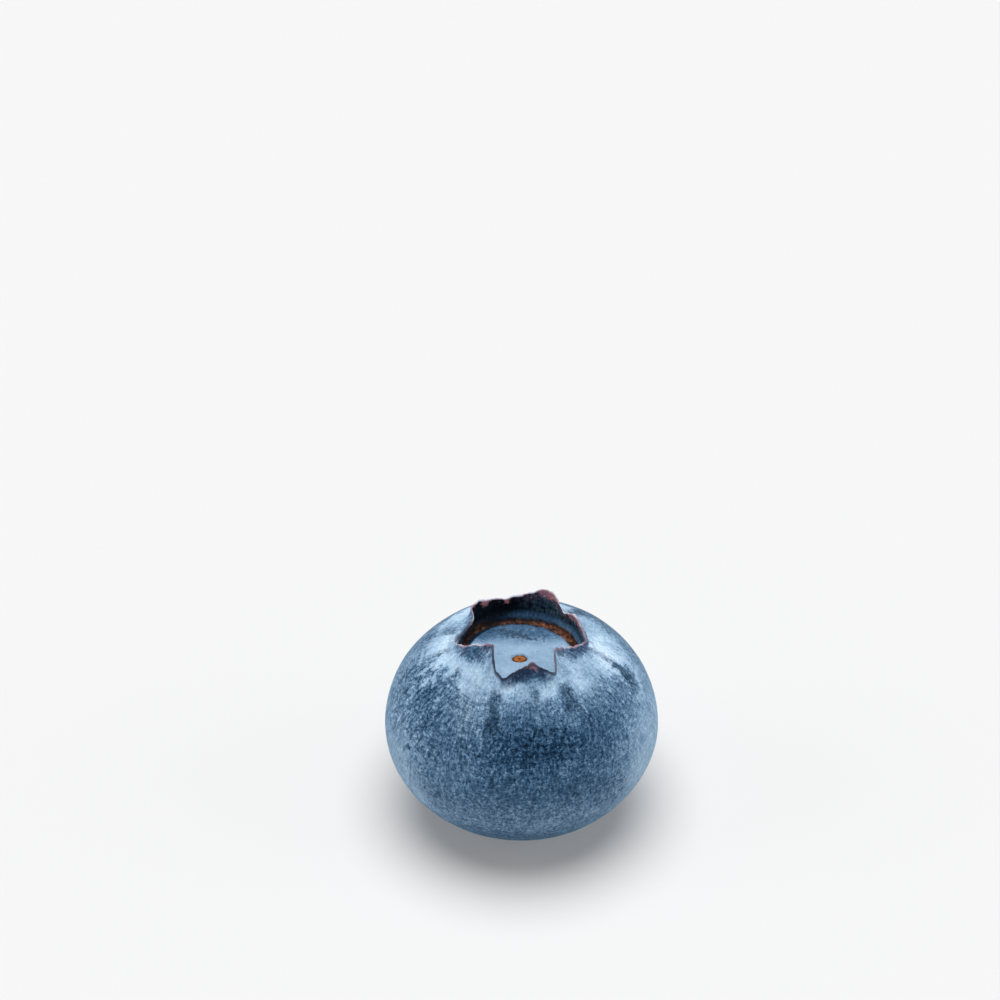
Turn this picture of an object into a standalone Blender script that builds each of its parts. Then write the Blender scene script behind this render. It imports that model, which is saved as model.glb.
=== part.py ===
"""A ripe highbush blueberry, picked and resting on its stem end.

The fruit is one solid. A profile turned about the upright axis gives the plump body, the ring groove and
the disc inside the crown. Formulas then draw the crown's plain collar up into six ragged lobes, press
shallow furrows into the shoulder and make the body a little uneven.

Azimuths are in degrees: 0 looks out along -Y, the front, and +90 along +X.
"""

import math
import random

import bpy
import numpy as np

MM = 0.001

# The body is close to a squashed ball.
BODY_RADIUS = 8.0 * MM
TOP_HALF = 6.38 * MM
LOWER_HALF = 6.33 * MM
FOOT_RADIUS = 1.9 * MM
BODY_ROWS = 20

# The stem scar is a dimple in the middle of the foot, with a low button of dry wood in it.
SCAR_RADIUS = 1.05 * MM
SCAR_DEPTH = 0.26 * MM
BUTTON_RADIUS = 0.3 * MM
BUTTON_HEIGHT = 0.1 * MM

# The crown stands round a disc sunk into the top, a little off the axis. Its heights are above the disc.
DISC_RADIUS = 3.12 * MM
DISC_DROP = 1.53 * MM
DISC_DISH = 0.09 * MM
GROOVE_WIDTH = 0.4 * MM
GROOVE_DEPTH = 0.12 * MM
CUP_SHIFT = (-0.1 * MM, -0.2 * MM)
WALL_HEIGHT = 0.42 * MM
COLLAR_HEIGHT = 1.7 * MM
COLLAR_INNER_FOOT = 3.64 * MM
COLLAR_OUTER_FOOT = 4.35 * MM
COLLAR_RADIUS = 3.86 * MM
LOBE_EDGE = 0.24 * MM
LOBE_BEND = 1.4
LOBE_ROWS = 5
RAGGED = 0.035 * MM

# The style scar is a round pit in the middle of the disc, with a dot in it.
STYLE_RADIUS = 0.44 * MM
STYLE_DEPTH = 0.07 * MM
STYLE_DOT = 0.12 * MM

# Each lobe's free edge, from one notch towards the next: azimuth, radius and height above the disc in mm.
LOBES = {
    "front": [(-17, 3.55, 1.15), (-4, 3.42, 1.72), (10.5, 3.15, 2.12), (25, 3.42, 1.5)],
    "front_right": [(33, 3.58, 1.24), (39, 3.02, 1.62), (45, 2.6, 2.0), (58, 2.75, 1.84), (73, 3.2, 1.46)],
    "right": [(96, 3.82, 0.72), (106, 3.7, 0.95), (113, 3.6, 1.38), (120, 3.52, 1.62), (129, 3.52, 1.24)],
    "back_right": [(136, 3.6, 1.0), (148, 3.72, 1.86), (156, 3.76, 2.12), (166, 3.66, 1.86), (180, 3.6, 1.55)],
    "back_left": [(191, 3.6, 1.38), (208, 3.64, 1.56), (222, 3.76, 1.76), (230, 3.82, 1.6), (236, 3.3, 1.32)],
    "front_left": [(243, 3.34, 0.88), (256, 3.64, 0.68), (271, 3.74, 0.9), (291, 3.36, 1.74), (311, 2.84, 2.44),
                   (323, 2.62, 2.6), (328, 2.98, 1.92), (334, 3.32, 1.36)],
}

# Furrows run down the shoulder from the crown: azimuth and depth in mm.
FURROWS = [(-20, 0.12), (9, 0.06), (31, 0.12), (98, 0.1), (136, 0.09), (190, 0.1), (250, 0.1)]
FURROW_SPREAD = 4.5
FURROW_TOP = 3.9 * MM
FURROW_END = 6.6 * MM

UNEVEN = 0.035 * MM
SWIRL = 25
SEED = 11
STEPS = 120

FOOT_DROP = LOWER_HALF * math.sqrt(1 - (FOOT_RADIUS / BODY_RADIUS) ** 2)
DISC_Z = FOOT_DROP + TOP_HALF - DISC_DROP
LOBE_FOOT_Z = DISC_Z + WALL_HEIGHT
COLLAR_Z = DISC_Z + COLLAR_HEIGHT


def clear_scene():
    for item in list(bpy.data.objects):
        bpy.data.objects.remove(item, do_unlink=True)


def material(name, colour, roughness):
    made = bpy.data.materials.new(name)
    made.use_nodes = True
    shader = made.node_tree.nodes["Principled BSDF"]
    shader.inputs["Base Color"].default_value = (*colour, 1)
    shader.inputs["Roughness"].default_value = roughness
    shader.inputs["Metallic"].default_value = 0
    return made


def ease(value):
    """0 to 1 with soft ends."""
    value = np.clip(value, 0, 1)
    return value * value * (3 - 2 * value)


def disc_profile():
    """The pit of the style scar and the dished disc, from the middle outwards."""
    pit = DISC_Z - DISC_DISH - STYLE_DEPTH
    rows = [(0, pit - STYLE_DEPTH), (STYLE_DOT, pit), (STYLE_RADIUS * 0.85, pit)]
    for share in (0.15, 0.4, 0.7, 0.93):
        rows.append((DISC_RADIUS * share, DISC_Z - DISC_DISH * (1 - share**2)))
    return rows


def cup_profile():
    """The ring groove and the short wall round it."""
    wall = DISC_RADIUS + GROOVE_WIDTH
    floor = DISC_Z - GROOVE_DEPTH
    return [
        (DISC_RADIUS, DISC_Z),
        (DISC_RADIUS + 0.25 * GROOVE_WIDTH, floor),
        (wall - 0.15 * GROOVE_WIDTH, floor),
        (wall, DISC_Z + 0.2 * WALL_HEIGHT),
    ]


def collar_profile():
    """The plain collar, up its inner face and down its outer one, which sweeps out like a neck at its foot."""
    inner = COLLAR_RADIUS - LOBE_EDGE / 2
    outer = COLLAR_RADIUS + LOBE_EDGE / 2
    shares = [row / LOBE_ROWS for row in range(LOBE_ROWS + 1)]
    heights = [LOBE_FOOT_Z + (COLLAR_Z - LOBE_FOOT_Z) * share for share in shares]
    up = [(COLLAR_INNER_FOOT + (inner - COLLAR_INNER_FOOT) * share, z) for share, z in zip(shares, heights)]
    down = [(outer + (COLLAR_OUTER_FOOT - outer) * (1 - share) ** 3, z) for share, z in zip(shares, heights)]
    return up + down[:0:-1]


def body_profile():
    """The squashed ball, from the foot of the collar down to the foot of the berry."""
    start = math.acos(COLLAR_OUTER_FOOT / BODY_RADIUS)
    end = -math.acos(FOOT_RADIUS / BODY_RADIUS)
    rows = []
    for row in range(BODY_ROWS + 1):
        turn = start + (end - start) * row / BODY_ROWS
        half = TOP_HALF if turn > 0 else LOWER_HALF
        rows.append((BODY_RADIUS * math.cos(turn), FOOT_DROP + half * math.sin(turn)))
    return rows


def scar_profile():
    """The flat foot and the stem scar in it, inwards to the axis."""
    return [
        (SCAR_RADIUS, 0),
        (SCAR_RADIUS * 0.86, SCAR_DEPTH * 0.75),
        (SCAR_RADIUS * 0.6, SCAR_DEPTH),
        (BUTTON_RADIUS * 1.2, SCAR_DEPTH),
        (BUTTON_RADIUS * 0.8, SCAR_DEPTH - BUTTON_HEIGHT),
        (0, SCAR_DEPTH - BUTTON_HEIGHT),
    ]


def turned_mesh(name, profile):
    """The closed mesh that the profile sweeps in one turn about Z."""
    line = bpy.data.meshes.new(name + "_profile")
    line.from_pydata([(r, 0, z) for r, z in profile], [(i, i + 1) for i in range(len(profile) - 1)], [])
    guide = bpy.data.objects.new(name + "_profile", line)
    bpy.context.scene.collection.objects.link(guide)
    screw = guide.modifiers.new("turn", "SCREW")
    screw.axis = "Z"
    screw.angle = math.tau
    screw.steps = STEPS
    screw.render_steps = STEPS
    screw.use_merge_vertices = True
    screw.merge_threshold = 1e-7
    mesh = bpy.data.meshes.new_from_object(guide.evaluated_get(bpy.context.evaluated_depsgraph_get()))
    mesh.name = name
    bpy.data.objects.remove(guide, do_unlink=True)
    bpy.data.meshes.remove(line)
    return mesh


def crown_edge(azimuth):
    """Radius and height above the disc of the lobes' free edge, which runs straight from point to point."""
    points = sorted((angle % 360, r * MM, z * MM) for lobe in LOBES.values() for angle, r, z in lobe)
    first, last = points[0], points[-1]
    points = [(last[0] - 360, *last[1:]), *points, (first[0] + 360, *first[1:])]
    angles, radii, heights = (np.array(column) for column in zip(*points))
    azimuth = azimuth % 360
    after = np.searchsorted(angles, azimuth, side="right")
    before = after - 1
    to_before = radii[before] * np.sin(np.radians(azimuth - angles[before]))
    to_after = radii[after] * np.sin(np.radians(angles[after] - azimuth))
    share = to_before / (to_before + to_after)
    chord = np.sin(np.radians(angles[after] - angles[before]))
    radius = radii[before] * radii[after] * chord / (to_before + to_after)
    return radius, heights[before] + share * (heights[after] - heights[before])


def waves(azimuth, counts, draw):
    """Ripples round the axis, each count of them with its own random phase, adding up to about 1."""
    total = sum(np.sin(np.radians(azimuth * count) + draw.uniform(0, math.tau)) for count in counts)
    return total / math.sqrt(len(counts))


def draw_up_lobes(r, z, azimuth, draw):
    """Stretch the collar to the height of the crown's edge, and bend it to the edge's radius."""
    share = np.clip((z - LOBE_FOOT_Z) / (COLLAR_Z - LOBE_FOOT_Z), 0, 1)
    radius, height = crown_edge(azimuth)
    height = height + RAGGED * waves(azimuth, (13, 19, 26, 31), draw)
    bend = (radius - COLLAR_RADIUS) * share**LOBE_BEND
    stretch = (height - WALL_HEIGHT) / (COLLAR_Z - LOBE_FOOT_Z)
    return r + bend, np.where(share > 0, LOBE_FOOT_Z + (z - LOBE_FOOT_Z) * stretch, z)


def press_furrows(r, z, azimuth):
    """How far the shoulder sinks at each point."""
    along = ease((r - FURROW_TOP) / (0.6 * MM)) * ease((FURROW_END - r) / (1.6 * MM))
    depth = np.zeros_like(r)
    for centre, sink in FURROWS:
        off = (azimuth - centre + 180) % 360 - 180
        depth += sink * MM * np.exp(-((off / FURROW_SPREAD) ** 2))
    return np.where(z > FOOT_DROP, depth * along, 0)


def shape_berry(mesh):
    draw = random.Random(SEED)
    points = np.empty(len(mesh.vertices) * 3)
    mesh.vertices.foreach_get("co", points)
    x, y, z = points.reshape(-1, 3).T
    r = np.hypot(x, y)
    azimuth = np.degrees(np.arctan2(x, -y))

    depth = press_furrows(r, z, azimuth)
    middle = ease((r - 3 * MM) / (4 * MM))
    swell = 1 + UNEVEN / BODY_RADIUS * middle * waves(azimuth + SWIRL * z / BODY_RADIUS, (2, 3, 5), draw)
    r, z = draw_up_lobes(r, z, azimuth, draw)
    r = r * swell - depth * r / BODY_RADIUS
    z = z - depth

    cup = (z > FOOT_DROP) & (r < COLLAR_RADIUS)
    shift = cup * (1 - ease((z - DISC_Z) / WALL_HEIGHT))
    x = r * np.sin(np.radians(azimuth)) + CUP_SHIFT[0] * shift
    y = -r * np.cos(np.radians(azimuth)) + CUP_SHIFT[1] * shift
    mesh.vertices.foreach_set("co", np.stack([x, y, z], axis=1).ravel())
    mesh.update()


def paint(mesh):
    """Bloomed skin, with dry tissue on the lobes' inner faces and cork in the groove and the scars."""
    mesh.materials.append(material("bloomed_skin", (0.13, 0.21, 0.31), 0.55))
    mesh.materials.append(material("dry_lobe", (0.012, 0.014, 0.03), 0.7))
    mesh.materials.append(material("cork", (0.24, 0.1, 0.035), 0.85))
    for face in mesh.polygons:
        middle = face.center
        r = math.hypot(middle.x, middle.y)
        inward = face.normal.dot((middle.x, middle.y, 0)) < 0
        top = middle.z > FOOT_DROP
        groove = top and DISC_RADIUS < r < DISC_RADIUS + GROOVE_WIDTH and middle.z < DISC_Z
        scars = r < STYLE_RADIUS if top else r < SCAR_RADIUS and middle.z > 0
        if middle.z > LOBE_FOOT_Z and inward:
            face.material_index = 1
        elif groove or scars:
            face.material_index = 2


def build():
    clear_scene()
    berry = bpy.data.collections.new("blueberry")
    bpy.context.scene.collection.children.link(berry)
    profile = disc_profile() + cup_profile() + collar_profile() + body_profile() + scar_profile()
    mesh = turned_mesh("fruit", profile)
    paint(mesh)
    shape_berry(mesh)
    mesh.shade_smooth()
    mesh.set_sharp_from_angle(angle=math.radians(50))
    berry.objects.link(bpy.data.objects.new("fruit", mesh))


build()
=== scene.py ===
# %% [markdown]
# A ripe blueberry
#
# The fruit is a highbush blueberry, 16 mm across: a plump squashed ball with a torn crown of dried lobes
# round a sunken disc. Its skin is blue-black under a pale wax, the bloom, which lies thick on the
# shoulders and is rubbed thin in front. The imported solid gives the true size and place. This lesson
# lays a much finer surface over it, paints it, and sets it on a pale floor under soft light.

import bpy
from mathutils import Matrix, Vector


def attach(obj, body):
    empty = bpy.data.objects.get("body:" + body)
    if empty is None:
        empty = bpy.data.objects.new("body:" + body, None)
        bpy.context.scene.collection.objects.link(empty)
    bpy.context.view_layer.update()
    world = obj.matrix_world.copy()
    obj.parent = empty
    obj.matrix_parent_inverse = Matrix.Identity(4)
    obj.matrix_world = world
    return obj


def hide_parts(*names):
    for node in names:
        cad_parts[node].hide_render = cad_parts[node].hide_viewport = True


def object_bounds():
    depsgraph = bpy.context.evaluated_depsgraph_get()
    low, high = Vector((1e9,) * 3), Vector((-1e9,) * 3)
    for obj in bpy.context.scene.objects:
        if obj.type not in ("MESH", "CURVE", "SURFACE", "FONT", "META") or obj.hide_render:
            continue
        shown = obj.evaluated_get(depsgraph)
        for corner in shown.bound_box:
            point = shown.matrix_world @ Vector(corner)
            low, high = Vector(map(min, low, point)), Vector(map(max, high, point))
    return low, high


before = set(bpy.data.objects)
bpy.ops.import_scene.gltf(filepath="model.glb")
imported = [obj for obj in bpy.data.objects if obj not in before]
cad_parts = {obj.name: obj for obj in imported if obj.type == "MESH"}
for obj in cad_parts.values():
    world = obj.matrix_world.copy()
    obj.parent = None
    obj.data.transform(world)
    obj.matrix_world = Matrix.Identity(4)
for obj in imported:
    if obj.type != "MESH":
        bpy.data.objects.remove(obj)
cad_box = [list(corner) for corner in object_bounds()]


def in_mm(box):
    """A box's two corners in millimetres, rounded for reading."""
    return [[round(1000 * x, 2) for x in corner] for corner in box]


print("solid's box in mm:", in_mm(cad_box))

# %% Tools for shapes, numbers and files
import math
import random

import bpy
import numpy as np
from mathutils import Matrix, Vector, noise

print("Blender", bpy.app.version_string)

# %% [markdown]
# The section
#
# A berry is nearly round about its upright axis, so half of its section, turned once round, already has
# the body, the disc and the wall of the cup. A Screw modifier on a drawn line would turn it. Here the
# turned grid is laid out as arrays instead, because later steps ask each point which row of the section
# it came from: to draw up the crown, to roughen the cork, and to tell the material where it is.
# All sizes are in millimetres until the mesh is made, and heights count from the floor.

# %% Sizes of the body
# Half of the solid's width, to a tenth of a mm, because the skin swells unevenly by a few hundredths.
BODY_RADIUS = round(1000 * (cad_box[1][0] - cad_box[0][0]) / 2, 1)
TOP_HALF = 6.38
LOWER_HALF = 6.33
FOOT_RADIUS = 1.9
FOOT_DROP = LOWER_HALF * math.sqrt(1 - (FOOT_RADIUS / BODY_RADIUS) ** 2)
print(f"the widest place is {FOOT_DROP:.2f} mm above the floor")

# %% Sizes of the cup and the crown
DISC_RADIUS = 3.12
DISC_DISH = 0.09
DISC_Z = FOOT_DROP + TOP_HALF - 1.53
CUP_SHIFT = (-0.1, -0.2)
WALL_HEIGHT = 0.42
COLLAR_RADIUS = 3.86
COLLAR_INNER_FOOT = 3.64
COLLAR_OUTER_FOOT = 4.35
LOBE_EDGE = 0.11
LOBE_BEND = 1.4
print(f"the disc lies {DISC_Z:.2f} mm above the floor")

# %% [markdown]
# The section is a list of rows from the middle of the disc outwards, up the inner face of the crown, over
# its rim, down the outside and in to the stem scar. Each row holds a radius, a height, the zone it is in
# and its share of the way up a lobe. Naming the zones now saves measuring the mesh for them later.

# %% How rows are laid
ZONES = ("style", "disc", "groove", "wall", "inner", "rim", "outer", "body", "foot", "stem")
section = []


def lay_rows(zone, rows):
    """Adds rows of (radius, height, share) to the section."""
    section.extend((radius, height, ZONES.index(zone), share) for radius, height, share in rows)


print(len(ZONES), "zones from the middle of the disc to the stem scar")

# %% [markdown]
# The style scar and the disc
#
# The disc is the old top of the ovary, dished a little. In its middle the style fell off and left a low
# orange boss with a dot in it, a narrow moat round it and a faint lip. Bump in the material could fake so
# small a thing, but a few close rows give it real shadows.

# %% Rows of the style scar and the disc
# Radius, and how far above the dish.
SCAR_SECTION = [
    (0, -0.13), (0.03, -0.12), (0.055, -0.07), (0.085, -0.03), (0.14, -0.015), (0.21, -0.02),
    (0.29, -0.045), (0.35, -0.085), (0.4, -0.095), (0.435, -0.05), (0.47, 0.005), (0.52, 0.018), (0.6, 0.006),
]
DISC_FROM, DISC_TO, DISC_ROWS = 0.75, 3.02, 15


def disc_height(radius):
    return DISC_Z - DISC_DISH * (1 - (radius / DISC_RADIUS) ** 2)


lay_rows("style", [(radius, disc_height(radius) + rise, 0) for radius, rise in SCAR_SECTION])
lay_rows("disc", [(radius, disc_height(radius), 0) for radius in np.linspace(DISC_FROM, DISC_TO, DISC_ROWS)])
print(len(section), "rows to the edge of the disc")

# %% [markdown]
# The ring groove and the wall
#
# The petals tore out of a ring between the disc and the wall of the cup, and left it sunk by a tenth of a
# millimetre. It could be cut in with a Boolean, but a turned trough keeps the grid whole. It is drawn plain
# here, and its crumbly cork comes later as relief. The wall leans out a little as it rises.

# %% Rows of the ring groove and the wall
# Radius, and how far above the edge of the disc.
GROOVE_SECTION = [
    (3.08, 0.0), (3.12, -0.012), (3.155, -0.04), (3.185, -0.08), (3.215, -0.11), (3.26, -0.125),
    (3.31, -0.12), (3.36, -0.12), (3.41, -0.122), (3.45, -0.105), (3.48, -0.06), (3.505, 0.0),
]
WALL_FOOT = (3.52, DISC_Z + 0.06)
WALL_TOP = (COLLAR_INNER_FOOT, DISC_Z + WALL_HEIGHT)
WALL_ROWS = 6
lay_rows("groove", [(radius, DISC_Z + drop, 0) for radius, drop in GROOVE_SECTION])
for part in np.linspace(0, 1, WALL_ROWS):
    wall_radius = WALL_FOOT[0] + (WALL_TOP[0] - WALL_FOOT[0]) * part**2
    wall_height = WALL_FOOT[1] + (WALL_TOP[1] - WALL_FOOT[1]) * part
    lay_rows("wall", [(wall_radius, wall_height, 0)])
print(len(section), "rows to the top of the wall")

# %% [markdown]
# The crown, laid flat for now
#
# The crown's height changes all the way round, so its rows can't have a height yet. They all start at the
# top of the wall and only carry their share of the way up, from 0 to 1. The rim's rows carry angles of a
# half turn instead, which make the edge round and not cut square.

# %% Rows of the crown
LOBE_ROWS = 20
RIM_TURNS = (158, 135, 112, 90, 68, 45, 22)
lobe_shares = np.linspace(0, 1, LOBE_ROWS + 1)[1:]
lay_rows("inner", [(*WALL_TOP, share) for share in lobe_shares])
lay_rows("rim", [(*WALL_TOP, turn) for turn in RIM_TURNS])
lay_rows("outer", [(*WALL_TOP, share) for share in lobe_shares[::-1]])
print(len(section), "rows down to the foot of the crown")

# %% [markdown]
# The body and the stem scar
#
# The body is two half ellipsoids that meet at the widest place, and a small flat foot cuts the lower one
# off. A scaled UV sphere would do, but its rows bunch up at the poles, while these start at the crown.
# Under the foot the stem broke off and left a shallow pit with a low boss in it.

# %% Rows of the body and the stem scar
BODY_ROWS = 58
first_turn = math.acos(COLLAR_OUTER_FOOT / BODY_RADIUS)
last_turn = -math.acos(FOOT_RADIUS / BODY_RADIUS)
for turn in np.linspace(first_turn, last_turn, BODY_ROWS):
    half = TOP_HALF if turn > 0 else LOWER_HALF
    lay_rows("body", [(BODY_RADIUS * math.cos(turn), FOOT_DROP + half * math.sin(turn), 0)])
COLLAR_OUTER_Z = FOOT_DROP + TOP_HALF * math.sin(first_turn)
lay_rows("foot", [(radius, 0, 0) for radius in (1.75, 1.55, 1.35, 1.2, 1.1)])
STEM_SECTION = [
    (1.05, 0.02), (1.01, 0.07), (0.97, 0.13), (0.9, 0.19), (0.78, 0.23), (0.62, 0.255), (0.46, 0.26),
    (0.36, 0.245), (0.3, 0.2), (0.24, 0.165), (0.16, 0.15), (0.08, 0.15), (0, 0.155),
]
lay_rows("stem", [(radius, height, 0) for radius, height in STEM_SECTION])
print(len(section), "rows in the section")

# %% [markdown]
# Turning the section
#
# The rows become the lines of latitude of one closed grid. Azimuth 0 looks out to the front, along -Y,
# and +90 along +X. The first and last rows lie on the axis and are one point each in the mesh.

# %% Turn the section into arrays
STEPS = 576
rows = np.array(section)
azimuth = np.tile(np.arange(STEPS) * 360 / STEPS, (len(rows), 1))
radius, height, zone, share = (np.repeat(column[:, None], STEPS, axis=1) for column in rows.T)


def in_zone(*names):
    return np.isin(zone, [ZONES.index(name) for name in names])


print(f"{radius.size} points, {360 / STEPS:.2f} degrees apart")

# %% [markdown]
# The free edge of the crown
#
# The crown is the dried calyx: five full lobes and a small one, torn and curled as they dried. Their
# edge is given as points of azimuth, radius and height above the disc, lobe by lobe. It could be a
# curve object, but a table can be read, and any azimuth looked up in it. Between two points the edge
# runs straight in space, which in azimuth and radius is a bowed line, so the look-up works that out.

# %% Points of the lobes' edge
LOBES = {
    "front": [(-17, 3.55, 1.15), (-4, 3.42, 1.72), (10.5, 3.15, 2.12), (25, 3.42, 1.5)],
    "front_right": [(33, 3.58, 1.24), (39, 3.02, 1.62), (45, 2.6, 2.0), (58, 2.75, 1.84), (73, 3.2, 1.46)],
    "right": [(96, 3.82, 0.72), (106, 3.7, 0.95), (113, 3.6, 1.38), (120, 3.52, 1.62), (129, 3.52, 1.24)],
    "back_right": [
        (136, 3.6, 1.0), (148, 3.72, 1.86), (156, 3.76, 2.12), (166, 3.66, 1.86), (180, 3.6, 1.55),
    ],
    "back_left": [
        (191, 3.6, 1.38), (208, 3.64, 1.56), (222, 3.76, 1.76), (230, 3.82, 1.6), (236, 3.3, 1.32),
    ],
    "front_left": [
        (243, 3.34, 0.88), (256, 3.64, 0.68), (271, 3.74, 0.9), (291, 3.36, 1.74), (311, 2.84, 2.44),
        (323, 2.62, 2.6), (328, 2.98, 1.92), (334, 3.32, 1.36),
    ],
}


def crown_edge(angle):
    """Radius and height above the disc of the free edge at these azimuths."""
    points = sorted((point[0] % 360, *point[1:]) for lobe in LOBES.values() for point in lobe)
    points = [(points[-1][0] - 360, *points[-1][1:]), *points, (points[0][0] + 360, *points[0][1:])]
    angles, radii, heights = (np.array(column) for column in zip(*points))
    after = np.searchsorted(angles, angle, side="right")
    before = after - 1
    to_before = radii[before] * np.sin(np.radians(angle - angles[before]))
    to_after = radii[after] * np.sin(np.radians(angles[after] - angle))
    along = to_before / (to_before + to_after)
    chord = np.sin(np.radians(angles[after] - angles[before]))
    edge_radius = radii[before] * radii[after] * chord / (to_before + to_after)
    return edge_radius, heights[before] + along * (heights[after] - heights[before])


edge_radius, edge_height = crown_edge(azimuth[0])
print(f"the edge stands {edge_height.min():.2f} to {edge_height.max():.2f} mm above the disc")

# %% [markdown]
# A dried edge is never straight: it is nibbled and frayed at several sizes. Sums of sine ripples round
# the axis give the larger waves, and they are the same ones that the solid has. Fractal noise gives the
# small ones, which only this finer surface can carry. The corners are softened a little first.

# %% Ripples, noise and softening
SEED = 11
draw = random.Random(SEED)


def ripples(angle, counts):
    """Waves round the axis, each count of them with a random phase."""
    total = sum(np.sin(np.radians(angle * count) + draw.uniform(0, math.tau)) for count in counts)
    return total / math.sqrt(len(counts))


def grain(places, size, octaves=1, seed=0):
    """Noise at rows of X, Y, Z places in mm, from about -1 to 1, with features about as wide as size."""
    shift = Vector((17.3, -9.1, 5.7)) * seed
    flat = np.asarray(places).reshape(-1, 3) / size
    found = [noise.fractal(Vector(place) + shift, 1.0, 2.0, octaves) for place in flat]
    return np.array(found).reshape(np.shape(places)[:-1])


def round_the_axis(values, width):
    """The values softened by their neighbours over this many degrees."""
    reach = max(1, round(width * STEPS / 360))
    weights = np.hanning(2 * reach + 3)[1:-1]
    padded = np.concatenate([values[-reach:], values, values[:reach]])
    return np.convolve(padded, weights / weights.sum(), mode="valid")


# %% Fray the edge
SWIRL = 25
RAGGED = 0.035
FRAYED, FRAY_SIZE = 0.045, 0.22
NIBBLED, NIBBLE_SIZE, NIBBLE_FROM = 0.1, 0.5, 0.25
CORNERS_SOFTENED = 1.6
swell_waves = ripples(azimuth + SWIRL * height / BODY_RADIUS, (2, 3, 5))
edge_waves = ripples(azimuth[0], (13, 19, 26, 31))
turns = np.radians(azimuth[0])
edge_places = np.stack([edge_radius * np.sin(turns), -edge_radius * np.cos(turns), edge_height], axis=-1)
frayed = grain(edge_places, FRAY_SIZE, 3, seed=1)
nibbled = np.clip(grain(edge_places, NIBBLE_SIZE, 2, seed=2) - NIBBLE_FROM, 0, 1)
frays = FRAYED * frayed - NIBBLED * nibbled
edge_radius = round_the_axis(edge_radius, CORNERS_SOFTENED)
edge_height = round_the_axis(edge_height, CORNERS_SOFTENED) + RAGGED * edge_waves + frays
print(f"fraying moves the edge by up to {np.abs(frays).max():.2f} mm")

# %% [markdown]
# Drawing up the lobes
#
# The collar is stretched to the height of the edge and bent to its radius. Both faces bend by the same
# sum, so they never cross: the lobe between them is thin and rounded at the rim and thickens down to its
# root. Solidify on one sheet would be quicker, but dry margins curl and thicken unevenly, so the rim's
# thickness has to wander.

# %% Draw up the lobes
RIM_UNEVEN, RIM_UNEVEN_SIZE = 0.35, 0.7
NECK_CURVE = 3
edge_thick = LOBE_EDGE * (1 + RIM_UNEVEN * grain(edge_places, RIM_UNEVEN_SIZE, 2, seed=3))
rim_middle = DISC_Z + edge_height - edge_thick / 2
inner, outer, rim = in_zone("inner"), in_zone("outer"), in_zone("rim")
along = np.where(rim, 1, share)
bend = (edge_radius - COLLAR_RADIUS) * along**LOBE_BEND
inner_radius = COLLAR_INNER_FOOT + (COLLAR_RADIUS - edge_thick / 2 - COLLAR_INNER_FOOT) * share + bend
neck = COLLAR_OUTER_FOOT - (COLLAR_RADIUS + edge_thick / 2)
outer_radius = COLLAR_RADIUS + edge_thick / 2 + neck * (1 - share) ** NECK_CURVE + bend
rim_radius = COLLAR_RADIUS + bend + edge_thick / 2 * np.cos(np.radians(share))
radius = np.select([inner, outer, rim], [inner_radius, outer_radius, rim_radius], radius)
inner_height = WALL_TOP[1] + (rim_middle - WALL_TOP[1]) * share
outer_height = COLLAR_OUTER_Z + (rim_middle - COLLAR_OUTER_Z) * share
rim_height = rim_middle + edge_thick / 2 * np.sin(np.radians(share))
height = np.select([inner, outer, rim], [inner_height, outer_height, rim_height], height)
print(f"rim {edge_thick.min():.2f} to {edge_thick.max():.2f} mm thick")

# %% [markdown]
# Furrows down the shoulder
#
# Shallow furrows run down the shoulder from between the lobes, where the flesh was folded in the bud. They
# could be pressed in by hand in Sculpt Mode. A bell curve across each azimuth, faded in below the crown and
# out again on the shoulder, gives the same soft valleys and can be read as numbers.

# %% Press the furrows
# Azimuth and depth in mm.
FURROWS = [(-20, 0.12), (9, 0.06), (31, 0.12), (98, 0.1), (136, 0.09), (190, 0.1), (250, 0.1)]
FURROW_SPREAD = 4.5
FURROW_FROM, FURROW_DEEP_BY = 3.9, 4.5
FURROW_TO, FURROW_FADES_FROM = 6.6, 5.0


def ease(value, low=0, high=1):
    """0 up to low, 1 from high on, and soft between. With low the larger, it runs the other way."""
    part = np.clip((value - low) / (high - low), 0, 1)
    return part * part * (3 - 2 * part)


def turned_by(centre):
    """Degrees from this azimuth, from -180 to 180."""
    return (azimuth - centre + 180) % 360 - 180


def bell(off, wide, power=2):
    """1 in the middle and about a third this far off it. A higher power is flatter on top."""
    return np.exp(-((off / wide) ** power))


top_side = in_zone("inner", "rim", "outer") | (in_zone("body") & (height > FOOT_DROP))
fades_in = ease(radius, FURROW_FROM, FURROW_DEEP_BY)
fades_out = ease(radius, FURROW_TO, FURROW_FADES_FROM)
furrows = sum(depth * bell(turned_by(centre), FURROW_SPREAD) for centre, depth in FURROWS)
sunk = furrows * fades_in * fades_out * top_side
print("furrows up to", round(float(sunk.max()), 3), "mm deep")

# %% [markdown]
# Swelling, the shifted cup and the oval scar
#
# The body swells unevenly by a few hundredths of a millimetre, the cup sits a little off the axis, and the
# style scar is wider than it is deep. These are small, but the eye reads a perfect turned shape as plastic
# at once. Done as sums on the arrays, they can't tear the grid.

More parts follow.
